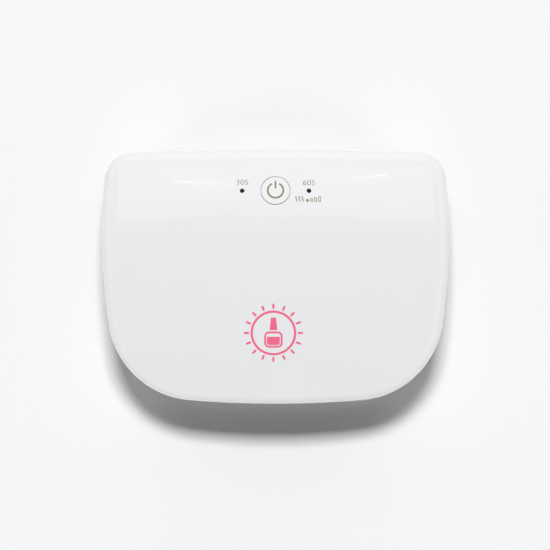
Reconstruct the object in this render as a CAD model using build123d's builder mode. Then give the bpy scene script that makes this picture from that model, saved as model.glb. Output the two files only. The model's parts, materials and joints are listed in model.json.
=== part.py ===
from build123d import *

import os
from math import asin, cos, sin, sqrt, tan

# A UV LED nail lamp. A domed casing covers a faceted, mirrored hand tunnel with eighteen LEDs around
# it, and the whole lamp lifts off a flat base tray that it stands on and is held to by magnets.
# +X is the lamp's right, +Y its back and +Z up. The origin is on the table, under the casing's middle.
# The hand goes in at the front, along +Y. All sizes are in millimetres.

# Casing, seen from above: four large arcs, with a small radius at the back corners and a large one in front
casing_width = 200.0
casing_depth = 146.0
casing_height = 76.0
widest_from_back = 47.0
back_bulge_radius = 3500.0
side_bulge_radius = 367.0
front_bulge_radius = 640.0
back_corner_radius = 16.6
front_corner_radius = 51.0
# Casing, seen from the side and the front: the dome's rise over its depth and over its width
crown_rise_depth = 16.5
crown_rise_width = 15.5
crown_edge_radius = 12.0
casing_wall = 2.4
fit_gap = 0.25

# Base tray and feet
foot_height = 1.2
foot_recess = 0.8
foot_radius = 7.0
foot_inset_side = 20.0
foot_inset_front = 32.0
foot_inset_back = 18.0
tray_thickness = 5.0
tray_skin = 2.2
tray_rim = 2.2
tray_inset = 1.0
tray_edge_radius = 1.0
tray_rib = 1.6
palm_recess = 0.5
spigot_radius = 2.0
spigot_height = 1.6

# Hand tunnel: upright sides, 45 degree facets and a flat ceiling
side_bay = 33.2
rear_bay = 14.2
top_bay = 27.8
facet_run = 22.0
tunnel_edge_radius = 8.0
tunnel_back_radius = 26.0
liner_wall = 2.4
liner_setback = 0.5
mouth_edge_radius = 0.6
flange_thickness = 2.4

# Fasteners and magnets
pad_thickness = 4.4
screw_pad_radius = 4.6
screw_radius = 1.25
screw_length = 9.0
screw_head_radius = 2.6
screw_head_height = 1.7
screw_head_sunk = 0.4
boss_radius = 3.4
thread_gap = 0.05
magnet_radius = 5.0
magnet_thickness = 2.0
magnet_pad_radius = 6.4
strike_thickness = 1.0
screw_slot_length = 2.6
screw_slot_width = 0.7
front_magnets_from_front = 26.0
back_magnets_from_back = 30.0
spigots_from_front = 60.0
front_screws_from_front = 41.0
rear_screws_inset = 8.0

# LEDs and their boards
board_thickness = 1.6
board_edge = 10.0
board_corner_radius = 2.0
bead_side_margin = 16.0
bead_front_margin = 40.0
bead_back_margin = 22.0
bead_hole_radius = 3.6
bead_flare_radius = 5.4
emitter_side = 4.6
emitter_height = 0.8
lens_radius = 2.5
board_screw_radius = 1.0
board_screw_head_radius = 2.0
board_screw_head_height = 1.3
rear_beads_above_rim = 28.0

# Control board, button and indicators, measured in from the dome along the button's axis
button_from_back = 23.5
button_radius = 8.25
button_gap = 0.3
button_proud = 0.35
button_edge_radius = 0.4
button_travel = 0.5
button_flange_lip = 1.45
button_flange_depth = 3.0
button_flange_thickness = 1.2
button_stem_length = 1.0
collar_wall = 1.4
collar_past_flange = 0.7
control_board_width = 78.0
control_board_length = 26.0
control_boss_x = 34.0
control_boss_y = 8.5
control_boss_radius = 2.6
indicator_spacing = 38.2
pipe_radius = 1.3
pipe_flange_radius = 2.3
indicator_led_height = 3.25
switch_side = 6.0
switch_height = 3.4
switch_lid = 0.6
plunger_radius = 1.7
plunger_flange_radius = 2.3
plunger_above_switch = 0.9
snap_dome_thickness = 0.15
snap_dome_height = 0.7

# Small parts on the control board: sizes, and places from the board's middle
timer_chip_size = (6.0, 5.0, 1.6)
timer_chip_place = (-13.0, 6.5)
driver_size = (4.5, 3.8, 1.4)
driver_places = [(-26.0, -7.0), (-18.0, -7.0), (13.0, -7.0)]
capacitor_radius = 3.15
capacitor_height = 4.9
capacitor_places = [(-26.0, 3.0), (26.0, 3.0)]
resistor_size = (2.0, 1.2, 0.6)
resistor_pitch = (3.2, 2.4)
resistor_place = (14.0, 7.0)

# Power inlet in the back wall, and the vents beside it
inlet_above_rim = 14.0
inlet_width = 9.0
inlet_height = 11.0
inlet_barrel_radius = 3.9
inlet_bore_radius = 3.15
inlet_bore_depth = 9.5
inlet_pin_radius = 1.05
inlet_reach = 10.4
inlet_board_width = 16.4
inlet_post_radius = 1.7
vent_width = 2.2
vent_height = 13.0
vent_pitch = 5.5
vents_each_side = 5
vent_from_middle = 38.0

# Wiring
lead_radius = 0.7
lead_pitch = 1.8
lead_bend = 2.5
jumper_rise = 4.0
jumper_from_edge = 3.0
plug_width = 6.0
plug_depth = 5.0
plug_height = 4.2

# Levels and limits that follow from the sizes above
rim_z = foot_height + tray_thickness
back_y = casing_depth / 2
front_y = -back_y
side_x = casing_width / 2
widest_y = back_y - widest_from_back
crown_depth_radius = (back_y**2 + crown_rise_depth**2) / (2 * crown_rise_depth)
crown_width_radius = (side_x**2 + crown_rise_width**2) / (2 * crown_rise_width)
tunnel_x = side_x - casing_wall - side_bay - liner_wall
tunnel_back_y = back_y - casing_wall - rear_bay - liner_wall
ceiling_z = casing_height - top_bay
facet_z = ceiling_z - facet_run
ceiling_x = tunnel_x - facet_run
button_flange_radius = button_radius + button_flange_lip
button_flange_under = button_flange_depth + button_flange_thickness
collar_depth = button_flange_under + button_travel + collar_past_flange
control_board_depth = button_flange_under + button_stem_length + plunger_above_switch + switch_height
pipe_length = control_board_depth - indicator_led_height - fit_gap
overrun = 10.0  # how far cutting tools run past what they cut


# ---------------------------------------------------------------- shared forms


def casing_outline(inset=0.0):
    """The casing's plan, drawn in by inset: four discs trim each other and the corners are rounded."""
    with BuildSketch() as outline:
        with Locations((0, back_y - back_bulge_radius)):
            Circle(back_bulge_radius - inset)
        with Locations((0, front_y + front_bulge_radius)):
            Circle(front_bulge_radius - inset, mode=Mode.INTERSECT)
        for side in (-1, 1):
            with Locations((side * (side_x - side_bulge_radius), widest_y)):
                Circle(side_bulge_radius - inset, mode=Mode.INTERSECT)
        fillet(outline.vertices().group_by(Axis.Y)[-1], back_corner_radius - inset)
        fillet(outline.vertices().group_by(Axis.Y)[0], front_corner_radius - inset)
    return outline.sketch


def casing_form(inset=0.0):
    """The casing's outer form, drawn in by inset on every side but the open underside."""
    ring_z = casing_height - crown_width_radius
    with BuildPart() as form:
        with BuildSketch(Plane.XY.offset(rim_z)):
            add(casing_outline(inset))
        extrude(amount=casing_height + overrun - rim_z)
        # The crown is one ring's skin. It is drawn below the ring's axis, which keeps its seam off the dome.
        with BuildSketch(Plane.YZ):
            with Locations((0, 2 * ring_z - casing_height + crown_depth_radius)):
                Circle(crown_depth_radius - inset)
            with Locations((0, 2 * ring_z - casing_height / 2)):
                Rectangle(casing_depth + overrun, casing_height, mode=Mode.INTERSECT)
        revolve(axis=Axis((0, 0, ring_z), (0, 1, 0)), mode=Mode.INTERSECT)
        fillet(form.faces().sort_by(Axis.Z)[-1].edges(), crown_edge_radius - inset)
    return form.part


def tunnel_form(outset=0.0):
    """The hand space, grown by outset. It runs on past the casing's front and below its rim."""
    with BuildPart() as form:
        with BuildSketch(Plane.XZ.offset(-tunnel_back_y - outset)) as section:
            with BuildLine():
                Polyline(
                    (-tunnel_x, -overrun),
                    (-tunnel_x, facet_z),
                    (-ceiling_x, ceiling_z),
                    (ceiling_x, ceiling_z),
                    (tunnel_x, facet_z),
                    (tunnel_x, -overrun),
                    close=True,
                )
            make_face()
            fillet(section.vertices().sort_by(Axis.Y)[2:], tunnel_edge_radius)
            if outset:
                offset(amount=outset)
        extrude(amount=tunnel_back_y + outset - front_y + overrun)
        with BuildSketch(Plane.XY.offset(-2 * overrun)) as plan:
            with Locations((0, tunnel_back_y + outset)):
                Rectangle(2 * (tunnel_x + outset), 2 * casing_depth, align=(Align.CENTER, Align.MAX))
            fillet(plan.vertices().group_by(Axis.Y)[-1], tunnel_back_radius + outset)
        extrude(amount=casing_height + 3 * overrun, mode=Mode.INTERSECT)
    return form.part



def half_width(y):
    """How far the casing's inside reaches from the middle at depth y, clear of the liner."""
    across = Edge.make_line((0, y), (side_x, y)).intersect(casing_outline(casing_wall + fit_gap))
    return across.edges()[0].length


def bay_middle(y):
    """The middle of the bay between the tunnel's side and the casing's, at depth y."""
    return (tunnel_x + liner_wall + half_width(y)) / 2


def both_sides(y):
    """A place in each side bay at depth y."""
    return [(side * bay_middle(y), y) for side in (-1, 1)]


# ---------------------------------------------------------------- places that several pieces share

rear_bay_y = back_y - casing_wall - rear_bay / 2
magnet_places = both_sides(front_y + front_magnets_from_front) + both_sides(back_y - back_magnets_from_back)
spigot_places = both_sides(front_y + spigots_from_front)
middle_screws_y = (spigot_places[0][1] + magnet_places[-1][1]) / 2
screw_places = both_sides(front_y + front_screws_from_front) + both_sides(middle_screws_y)
screw_places += [(side * (tunnel_x - rear_screws_inset), rear_bay_y) for side in (-1, 1)]
foot_places = [
    (side * (side_x - foot_inset_side), y)
    for side in (-1, 1)
    for y in (front_y + foot_inset_front, back_y - foot_inset_back)
]
boss_z = rim_z + pad_thickness
screw_seat_z = rim_z + screw_head_sunk + screw_head_height
inlet_z = rim_z + inlet_above_rim
inlet_board_top_z = inlet_z - inlet_height / 2

# The dome leans back at the button, and everything under it is measured from this plane
button_y = back_y - button_from_back
button_lean = asin(button_y / crown_depth_radius)
control_plane = Plane(
    origin=(0, button_y, casing_height - crown_depth_radius * (1 - cos(button_lean))),
    x_dir=(1, 0, 0),
    z_dir=(0, sin(button_lean), cos(button_lean)),
)
up = Axis(control_plane.origin, control_plane.z_dir)
board_top = control_plane.offset(-control_board_depth)
board_under = control_plane.offset(-control_board_depth - board_thickness)
control_bosses = [
    (side * control_boss_x, end * control_boss_y)
    for side in (-1, 1)
    for end in (-1, 1)
]
indicator_places = [(-indicator_spacing / 2, 0), (indicator_spacing / 2, 0)]
plunger_top = switch_height + plunger_above_switch

# Each LED board lies on the outside of one face of the tunnel: its plane, with +Z away from the hand,
# then the pitch and count of its LEDs across and along
pitch_across = ceiling_x - bead_side_margin
pitch_along = (tunnel_back_y - bead_back_margin - front_y - bead_front_margin) / 2
beads_y = front_y + bead_front_margin + pitch_along
lean = 1 / sqrt(2)


def facet_plane(side):
    """The outer skin of the liner's right (1) or left (-1) facet, at the middle of its LEDs."""
    out = Vector(side * lean, 0, lean)
    middle = Vector(side * (ceiling_x + tunnel_x) / 2, beads_y, (ceiling_z + facet_z) / 2)
    return Plane(origin=middle + out * liner_wall, x_dir=(lean, 0, -side * lean), z_dir=out)


ceiling_plane = Plane(origin=(0, beads_y, ceiling_z + liner_wall), z_dir=(0, 0, 1))
rear_plane = Plane(
    origin=(0, tunnel_back_y + liner_wall, rim_z + rear_beads_above_rim), x_dir=(-1, 0, 0), z_dir=(0, 1, 0)
)
led_boards = {
    "top": (ceiling_plane, 3, 3),
    "left": (facet_plane(-1), 1, 3),
    "right": (facet_plane(1), 1, 3),
    "rear": (rear_plane, 3, 1),
}


def bead_grid(columns, rows):
    """The LEDs' places on a board's own plane."""
    return GridLocations(pitch_across, pitch_along, columns, rows)


def board_size(columns, rows):
    """A board reaches one edge margin past its outer LEDs."""
    return (columns - 1) * pitch_across + 2 * board_edge, (rows - 1) * pitch_along + 2 * board_edge


def board_screw_places(columns, rows):
    """Two screws, halfway between LEDs on the board's long centre line."""
    if rows > 1:
        return [(0, -pitch_along / 2), (0, pitch_along / 2)]
    return [(-pitch_across / 2, 0), (pitch_across / 2, 0)]


seated = (Align.CENTER, Align.CENTER, Align.MIN)
os.makedirs("parts", exist_ok=True)

# ---------------------------------------------------------------- base tray, which stays on the table

with BuildPart() as base_tray:
    with BuildSketch(Plane.XY.offset(foot_height)):
        add(casing_outline(tray_inset))
    extrude(amount=tray_thickness)
    fillet(base_tray.edges().group_by(Axis.Z)[0], tray_edge_radius)
    with BuildSketch(Plane.XY.offset(foot_height)):
        add(casing_outline(tray_inset + tray_rim))
        Rectangle(casing_width, tray_rib, mode=Mode.SUBTRACT)
        Rectangle(tray_rib, casing_depth, mode=Mode.SUBTRACT)
        with Locations(foot_places):
            Circle(foot_radius + tray_rim, mode=Mode.SUBTRACT)
        with Locations(magnet_places):
            Circle(magnet_radius + tray_rim, mode=Mode.SUBTRACT)
    extrude(amount=tray_thickness - tray_skin, mode=Mode.SUBTRACT)
    with BuildSketch(Plane.XY.offset(foot_height)):
        with Locations(foot_places):
            Circle(foot_radius + fit_gap)
    extrude(amount=foot_recess, mode=Mode.SUBTRACT)
    with BuildSketch(Plane.XY.offset(rim_z)):
        with Locations(magnet_places):
            Circle(magnet_radius + fit_gap)
    extrude(amount=-strike_thickness, mode=Mode.SUBTRACT)
    # A shallow panel where the hand rests, as wide as the tunnel
    with BuildSketch(Plane.XY.offset(rim_z)) as panel:
        with Locations((0, tunnel_back_y - tray_rim)):
            panel_length = tunnel_back_y - front_y - 5 * tray_rim
            Rectangle(2 * (tunnel_x - tray_rim), panel_length, align=(Align.CENTER, Align.MAX))
        fillet(panel.vertices(), tunnel_back_radius - tray_rim)
    extrude(amount=-palm_recess, mode=Mode.SUBTRACT)
    with BuildSketch(Plane.XY.offset(rim_z)):
        with Locations(spigot_places):
            Circle(spigot_radius)
    extrude(amount=spigot_height)
    chamfer(base_tray.edges().group_by(Axis.Z)[-1], spigot_radius / 4)
base_tray.part.label = "base_tray"
export_step(base_tray.part, "parts/base_tray.step")

with BuildPart() as rubber_feet:
    with BuildSketch():
        with Locations(foot_places):
            Circle(foot_radius)
    extrude(amount=foot_height + foot_recess)
    fillet(rubber_feet.edges().group_by(Axis.Z)[0], foot_recess / 2)
rubber_feet.part.label = "rubber_feet"
export_step(rubber_feet.part, "parts/rubber_feet.step")

with BuildPart() as strike_plates:
    with BuildSketch(Plane.XY.offset(rim_z)):
        with Locations(magnet_places):
            Circle(magnet_radius)
    extrude(amount=-strike_thickness)
strike_plates.part.label = "strike_plates"
export_step(strike_plates.part, "parts/strike_plates.step")

# ---------------------------------------------------------------- casing

with BuildPart() as boss_columns:
    with BuildSketch(Plane.XY.offset(boss_z)):
        with Locations(screw_places):
            Circle(boss_radius)
    extrude(amount=casing_height)
    with BuildSketch(board_top):
        with Locations(control_bosses):
            Circle(control_boss_radius)
    extrude(amount=control_board_depth + overrun)
    with BuildSketch(control_plane.offset(-collar_depth)):
        Circle(button_flange_radius + button_gap + collar_wall)
        Circle(button_flange_radius + button_gap, mode=Mode.SUBTRACT)
    extrude(amount=collar_depth + overrun)
    add(casing_form(casing_wall / 2), mode=Mode.INTERSECT)

skin = casing_form(casing_wall / 2)
with BuildPart() as top_shell:
    add(casing_form())
    add(casing_form(casing_wall), mode=Mode.SUBTRACT)
    add(tunnel_form(liner_wall + fit_gap), mode=Mode.SUBTRACT)
    cut_edges = top_shell.edges(Select.LAST).sort_by(Axis.X)
    fillet([e for e in cut_edges if not skin.is_inside(e.position_at(0.5))], mouth_edge_radius)
    add(boss_columns.part)
    with Locations(Plane.XY.offset(boss_z)):
        with Locations([(x, y, 0) for x, y in screw_places]):
            Cylinder(screw_radius + thread_gap, screw_length, align=seated, mode=Mode.SUBTRACT)
    with BuildSketch(board_top):
        with Locations(control_bosses):
            Circle(board_screw_radius + thread_gap)
    extrude(amount=control_board_depth / 2, mode=Mode.SUBTRACT)
    with BuildSketch(control_plane.offset(-button_flange_depth)):
        Circle(button_radius + button_gap)
        with Locations(indicator_places):
            Circle(pipe_radius + thread_gap)
    extrude(amount=button_flange_depth + overrun, mode=Mode.SUBTRACT)
    with BuildSketch(Plane.XZ.offset(-back_y - overrun)):
        with Locations((0, inlet_z)):
            Circle(inlet_barrel_radius + thread_gap)
        with Locations((-vent_from_middle, inlet_z), (vent_from_middle, inlet_z)):
            with GridLocations(vent_pitch, 0, vents_each_side, 1):
                SlotOverall(vent_height, vent_width, rotation=90)
    extrude(amount=overrun + 2 * casing_wall, mode=Mode.SUBTRACT)
top_shell.part.label = "top_shell"
export_step(top_shell.part, "parts/top_shell.step")

# ---------------------------------------------------------------- mirrored liner with its screws and magnets

with BuildPart() as inner_reflector:
    add(tunnel_form(liner_wall))
    with BuildSketch(Plane.XY.offset(rim_z)):
        add(casing_outline(casing_wall + fit_gap))
    extrude(amount=flange_thickness)
    with BuildSketch(Plane.XY.offset(rim_z)):
        with Locations(screw_places):
            Circle(screw_pad_radius)
        with Locations(magnet_places):
            Circle(magnet_pad_radius)
    extrude(amount=pad_thickness)
    with BuildSketch(Plane.XY.offset(rim_z)):
        with Locations((0, rear_bay_y)):
            with GridLocations(inlet_width, 0, 2, 1):
                Circle(inlet_post_radius)
    extrude(amount=inlet_board_top_z - board_thickness - rim_z)
    add(casing_form(liner_setback), mode=Mode.INTERSECT)
    add(tunnel_form(), mode=Mode.SUBTRACT)
    for plane, columns, rows in led_boards.values():
        hand_side = Plane(plane.offset(-liner_wall).origin, x_dir=plane.x_dir, z_dir=-plane.z_dir)
        with Locations(hand_side):
            with bead_grid(columns, rows):
                CounterSinkHole(bead_hole_radius, bead_flare_radius, 2 * liner_wall, counter_sink_angle=90)
        with BuildSketch(plane):
            with Locations(board_screw_places(columns, rows)):
                Circle(board_screw_radius + thread_gap)
        extrude(amount=-0.8 * liner_wall, mode=Mode.SUBTRACT)
    with BuildSketch(Plane.XY.offset(rim_z)):
        with Locations(screw_places):
            Circle(screw_head_radius + fit_gap)
    extrude(amount=screw_seat_z - rim_z, mode=Mode.SUBTRACT)
    with BuildSketch(Plane.XY.offset(rim_z)):
        with Locations(screw_places):
            Circle(screw_radius + fit_gap)
    extrude(amount=pad_thickness, mode=Mode.SUBTRACT)
    with BuildSketch(Plane.XY.offset(rim_z)):
        with Locations(magnet_places):
            Circle(magnet_radius + fit_gap)
    extrude(amount=magnet_thickness + fit_gap, mode=Mode.SUBTRACT)
    with BuildSketch(Plane.XY.offset(rim_z)):
        with Locations(spigot_places):
            Circle(spigot_radius + fit_gap)
    extrude(amount=flange_thickness, mode=Mode.SUBTRACT)
inner_reflector.part.label = "inner_reflector"
export_step(inner_reflector.part, "parts/inner_reflector.step")

with BuildPart() as casing_screws:
    with BuildSketch(Plane.XY.offset(screw_seat_z)):
        with Locations(screw_places):
            Circle(screw_head_radius)
    extrude(amount=-screw_head_height)
    fillet(casing_screws.edges().group_by(Axis.Z)[0], screw_head_height / 3)
    with BuildSketch(Plane.XY.offset(screw_seat_z - screw_head_height)):
        with Locations(screw_places):
            Rectangle(screw_slot_length, screw_slot_width)
            Rectangle(screw_slot_width, screw_slot_length)
    extrude(amount=screw_head_height / 2, mode=Mode.SUBTRACT)
    with BuildSketch(Plane.XY.offset(screw_seat_z)):
        with Locations(screw_places):
            Circle(screw_radius)
    extrude(amount=screw_length - screw_head_height)
casing_screws.part.label = "casing_screws"
export_step(casing_screws.part, "parts/casing_screws.step")

with BuildPart() as magnets:
    with BuildSketch(Plane.XY.offset(rim_z + fit_gap)):
        with Locations(magnet_places):
            Circle(magnet_radius)
    extrude(amount=magnet_thickness)
magnets.part.label = "magnets"
export_step(magnets.part, "parts/magnets.step")

# ---------------------------------------------------------------- LED boards

for place, (plane, columns, rows) in led_boards.items():
    with BuildPart() as led_board:
        with BuildSketch(plane):
            RectangleRounded(*board_size(columns, rows), board_corner_radius)
            with Locations(board_screw_places(columns, rows)):
                Circle(board_screw_radius + fit_gap, mode=Mode.SUBTRACT)
        extrude(amount=board_thickness)
    led_board.part.label = f"led_board_{place}"
    export_step(led_board.part, f"parts/{led_board.part.label}.step")

    with BuildPart() as emitters:
        with BuildSketch(plane):
            with bead_grid(columns, rows):
                Rectangle(emitter_side, emitter_side)
        extrude(amount=-emitter_height)
    emitters.part.label = f"led_emitters_{place}"
    export_step(emitters.part, f"parts/{emitters.part.label}.step")

    with BuildPart() as lenses:
        with Locations(Plane(plane.offset(-emitter_height).origin, x_dir=plane.x_dir, z_dir=-plane.z_dir)):
            with bead_grid(columns, rows):
                Sphere(lens_radius, arc_size1=0, align=seated)
    lenses.part.label = f"led_lenses_{place}"
    export_step(lenses.part, f"parts/{lenses.part.label}.step")

with BuildPart() as led_board_screws:
    for plane, columns, rows in led_boards.values():
        with BuildSketch(plane.offset(board_thickness)):
            with Locations(board_screw_places(columns, rows)):
                Circle(board_screw_head_radius)
        extrude(amount=board_screw_head_height)
        with BuildSketch(plane.offset(board_thickness)):
            with Locations(board_screw_places(columns, rows)):
                Circle(board_screw_radius)
        extrude(amount=-board_thickness - 0.7 * liner_wall)
led_board_screws.part.label = "led_board_screws"
export_step(led_board_screws.part, "parts/led_board_screws.step")

# ---------------------------------------------------------------- power button and the switch under it

button_crown_radius = 2 / (1 / crown_depth_radius + 1 / crown_width_radius)
with BuildPart() as power_button:
    with BuildSketch(control_plane.offset(-button_flange_depth)):
        Circle(button_radius)
    extrude(amount=button_flange_depth + overrun)
    with Locations(control_plane.offset(button_proud - button_crown_radius)):
        Sphere(button_crown_radius, rotation=(90, 0, 0), mode=Mode.INTERSECT)
    fillet(power_button.edges().group_by(up)[-1], button_edge_radius)
    with BuildSketch(control_plane.offset(-button_flange_depth)):
        Circle(button_flange_radius)
    extrude(amount=-button_flange_thickness)
    with BuildSketch(board_top.offset(plunger_top)):
        Circle(plunger_radius)
    extrude(amount=button_stem_length + button_flange_thickness)
power_button.part.label = "power_button"
export_step(power_button.part, "parts/power_button.step")

with BuildPart() as switch_body:
    with BuildSketch(board_top):
        RectangleRounded(switch_side, switch_side, switch_side / 12)
    extrude(amount=switch_height)
    with BuildSketch(board_top.offset(switch_height - switch_lid)):
        Circle(plunger_flange_radius + thread_gap)
    extrude(amount=-switch_lid - snap_dome_height, mode=Mode.SUBTRACT)
    with BuildSketch(board_top.offset(switch_height)):
        Circle(plunger_radius + thread_gap)
    extrude(amount=-switch_lid, mode=Mode.SUBTRACT)
switch_body.part.label = "switch_body"
export_step(switch_body.part, "parts/switch_body.step")

with BuildPart() as switch_plunger:
    with BuildSketch(board_top.offset(switch_height - switch_lid)):
        Circle(plunger_flange_radius)
    extrude(amount=-switch_lid)
    with BuildSketch(board_top.offset(switch_height - switch_lid)):
        Circle(plunger_radius)
    extrude(amount=switch_lid + plunger_above_switch)
switch_plunger.part.label = "switch_plunger"
export_step(switch_plunger.part, "parts/switch_plunger.step")

snap_dome_radius = (plunger_flange_radius**2 + snap_dome_height**2) / (2 * snap_dome_height)
snap_floor = board_top.offset(switch_height - 2 * switch_lid - snap_dome_height)
with BuildPart() as snap_dome:
    with Locations(snap_floor.offset(snap_dome_height - snap_dome_radius)):
        Sphere(snap_dome_radius)
        Sphere(snap_dome_radius - snap_dome_thickness, mode=Mode.SUBTRACT)
    with BuildSketch(snap_floor):
        Circle(plunger_flange_radius)
    extrude(amount=snap_dome_height, mode=Mode.INTERSECT)
snap_dome.part.label = "snap_dome"
export_step(snap_dome.part, "parts/snap_dome.step")

# ---------------------------------------------------------------- control board

with BuildPart() as control_board:
    with BuildSketch(board_under):
        RectangleRounded(control_board_width, control_board_length, board_corner_radius)
        with Locations(control_bosses):
            Circle(board_screw_radius + fit_gap, mode=Mode.SUBTRACT)
    extrude(amount=board_thickness)
control_board.part.label = "control_board"
export_step(control_board.part, "parts/control_board.step")

with BuildPart() as control_board_screws:
    with BuildSketch(board_under):
        with Locations(control_bosses):
            Circle(board_screw_head_radius)
    extrude(amount=-board_screw_head_height)
    with BuildSketch(board_under):
        with Locations(control_bosses):
            Circle(board_screw_radius)
    extrude(amount=board_thickness + 0.4 * control_board_depth)
control_board_screws.part.label = "control_board_screws"
export_step(control_board_screws.part, "parts/control_board_screws.step")

for side, (x, y) in zip(("left", "right"), indicator_places):
    with BuildPart() as light_pipe:
        with BuildSketch(control_plane.offset(-pipe_length)):
            with Locations((x, y)):
                Circle(pipe_radius)
        extrude(amount=pipe_length + overrun)
        add(casing_form(thread_gap), mode=Mode.INTERSECT)
        with BuildSketch(control_plane.offset(-button_flange_under)):
            with Locations((x, y)):
                Circle(pipe_flange_radius)
        extrude(amount=button_flange_thickness - fit_gap)
    light_pipe.part.label = f"indicator_pipe_{side}"
    export_step(light_pipe.part, f"parts/{light_pipe.part.label}.step")

with BuildPart() as indicator_leds:
    with BuildSketch(board_top):
        with Locations(indicator_places):
            Circle(pipe_radius)
    extrude(amount=indicator_led_height - pipe_radius)
    with Locations(board_top.offset(indicator_led_height - pipe_radius)):
        with Locations([(x, y, 0) for x, y in indicator_places]):
            Sphere(pipe_radius, arc_size1=0, align=seated)
indicator_leds.part.label = "indicator_leds"
export_step(indicator_leds.part, "parts/indicator_leds.step")

with BuildPart() as timer_chip:
    with Locations(board_top):
        with Locations(timer_chip_place):
            Box(*timer_chip_size, align=seated)
    chamfer(timer_chip.faces().sort_by(up)[-1].edges(), timer_chip_size[2] / 5)
timer_chip.part.label = "timer_chip"
export_step(timer_chip.part, "parts/timer_chip.step")

with BuildPart() as led_drivers:
    with Locations(board_top):
        with Locations(driver_places):
            Box(*driver_size, align=seated)
led_drivers.part.label = "led_drivers"
export_step(led_drivers.part, "parts/led_drivers.step")

with BuildPart() as capacitors:
    with Locations(board_top):
        with Locations(capacitor_places):
            Cylinder(capacitor_radius, capacitor_height, align=seated)
    fillet(capacitors.faces().group_by(up)[-1].edges(), capacitor_radius / 6)
capacitors.part.label = "capacitors"
export_step(capacitors.part, "parts/capacitors.step")

with BuildPart() as chip_resistors:
    with Locations(board_top):
        with Locations(resistor_place):
            with GridLocations(*resistor_pitch, 3, 2):
                Box(*resistor_size, align=seated)
chip_resistors.part.label = "chip_resistors"
export_step(chip_resistors.part, "parts/chip_resistors.step")

# ---------------------------------------------------------------- power inlet

inlet_back_y = back_y - casing_wall - fit_gap
with BuildPart() as inlet_housing:
    with BuildSketch(Plane.XZ.offset(-inlet_back_y)):
        with Locations((0, inlet_z)):
            Rectangle(inlet_width, inlet_height)
    extrude(amount=inlet_reach)
    with BuildSketch(Plane.XZ.offset(-inlet_back_y)):
        with Locations((0, inlet_z)):
            Circle(inlet_barrel_radius)
    extrude(amount=-casing_wall)
    with BuildSketch(Plane.XZ.offset(-back_y)):
        with Locations((0, inlet_z)):
            Circle(inlet_bore_radius)
    extrude(amount=inlet_bore_depth, mode=Mode.SUBTRACT)
    with BuildSketch(Plane.XZ.offset(-back_y)):
        with Locations((0, inlet_z)):
            Circle(inlet_pin_radius)
    extrude(amount=casing_depth / 4, mode=Mode.SUBTRACT)
inlet_housing.part.label = "inlet_housing"
export_step(inlet_housing.part, "parts/inlet_housing.step")

with BuildPart() as inlet_pin:
    with BuildSketch(Plane.XZ.offset(-back_y + 1)):
        with Locations((0, inlet_z)):
            Circle(inlet_pin_radius)
    extrude(amount=casing_wall + inlet_reach - 1)
    fillet(inlet_pin.edges().group_by(Axis.Y)[-1], inlet_pin_radius / 2)
inlet_pin.part.label = "inlet_pin"
export_step(inlet_pin.part, "parts/inlet_pin.step")

with BuildPart() as inlet_board:
    with BuildSketch(Plane.XY.offset(inlet_board_top_z)):
        with Locations((0, rear_bay_y)):
            Rectangle(inlet_board_width, inlet_reach)
    extrude(amount=-board_thickness)
inlet_board.part.label = "inlet_board"
export_step(inlet_board.part, "parts/inlet_board.step")

# ---------------------------------------------------------------- wiring

plug_x = inlet_width / 2 + fit_gap / 2 + lead_radius + lead_pitch / 2
plug_places = [(-plug_x, 0), (plug_x, 0)]
with BuildPart() as lead_plugs:
    with Locations(board_under):
        with Locations(plug_places):
            Box(plug_width, plug_depth, plug_height, align=(Align.CENTER, Align.CENTER, Align.MAX))
lead_plugs.part.label = "lead_plugs"
export_step(lead_plugs.part, "parts/lead_plugs.step")


def lead(*route):
    """A round lead along straight runs that are joined by tangent arcs."""
    with BuildPart() as run:
        with BuildLine() as line:
            FilletPolyline(*route, radius=lead_bend)
        with BuildSketch(Plane(origin=line.line @ 0, z_dir=line.line % 0)):
            Circle(lead_radius)
        sweep(path=line.line)
    return run.part


def plug_exit(x, toward):
    """Where a lead leaves a plug, on its back (1) or front (-1) face."""
    return board_under.from_local_coords((x, toward * plug_depth / 2, -plug_height / 2))


def riser_corner(x):
    """The corner where a lead from a plug's back face turns down into the rear bay."""
    start = plug_exit(x, 1)
    return Vector(x, rear_bay_y, start.Z - (rear_bay_y - start.Y) * tan(button_lean))


def inlet_lead(x):
    """From the plug on the right down to the inlet's board."""
    return lead(plug_exit(x, 1), riser_corner(x), (x, rear_bay_y, inlet_board_top_z))


def rear_lead(x):
    """From the plug on the left down and forward to the rear LED board."""
    corner = riser_corner(x)
    board = Vector(x, rear_plane.origin.Y + board_thickness, rear_plane.origin.Z)
    return lead(plug_exit(x, 1), corner, (x, rear_bay_y, board.Z), board)


def top_lead(x):
    """From the plug on the left forward and down to the top LED board."""
    start = plug_exit(x, -1)
    reach = 3 * lead_bend
    y = start.Y - reach
    corner = (x, y, start.Z + reach * tan(button_lean))
    return lead(start, corner, (x, y, ceiling_plane.origin.Z + board_thickness))


def side_jumper(side, y):
    """From the top LED board over to the board on the right (1) or left (-1) facet."""
    to_pad = board_edge - jumper_from_edge
    top_pad = Vector(side * (pitch_across + to_pad), y, ceiling_plane.origin.Z + board_thickness)
    plane = facet_plane(side)
    return lead(
        top_pad,
        top_pad + Vector(0, 0, jumper_rise),
        plane.from_local_coords((-side * to_pad, y - beads_y, board_thickness + 1.5 * jumper_rise)),
        plane.from_local_coords((-side * to_pad, y - beads_y, board_thickness)),
    )


for colour, shift in (("red", -lead_pitch / 2), ("black", lead_pitch / 2)):
    with BuildPart() as leads:
        add(inlet_lead(plug_x + shift))
        add(rear_lead(-plug_x + shift))
        add(top_lead(-plug_x + shift))
        for side in (-1, 1):
            add(side_jumper(side, beads_y + pitch_along / 4 + shift))
    leads.part.label = f"leads_{colour}"
    export_step(leads.part, f"parts/{leads.part.label}.step")
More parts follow.
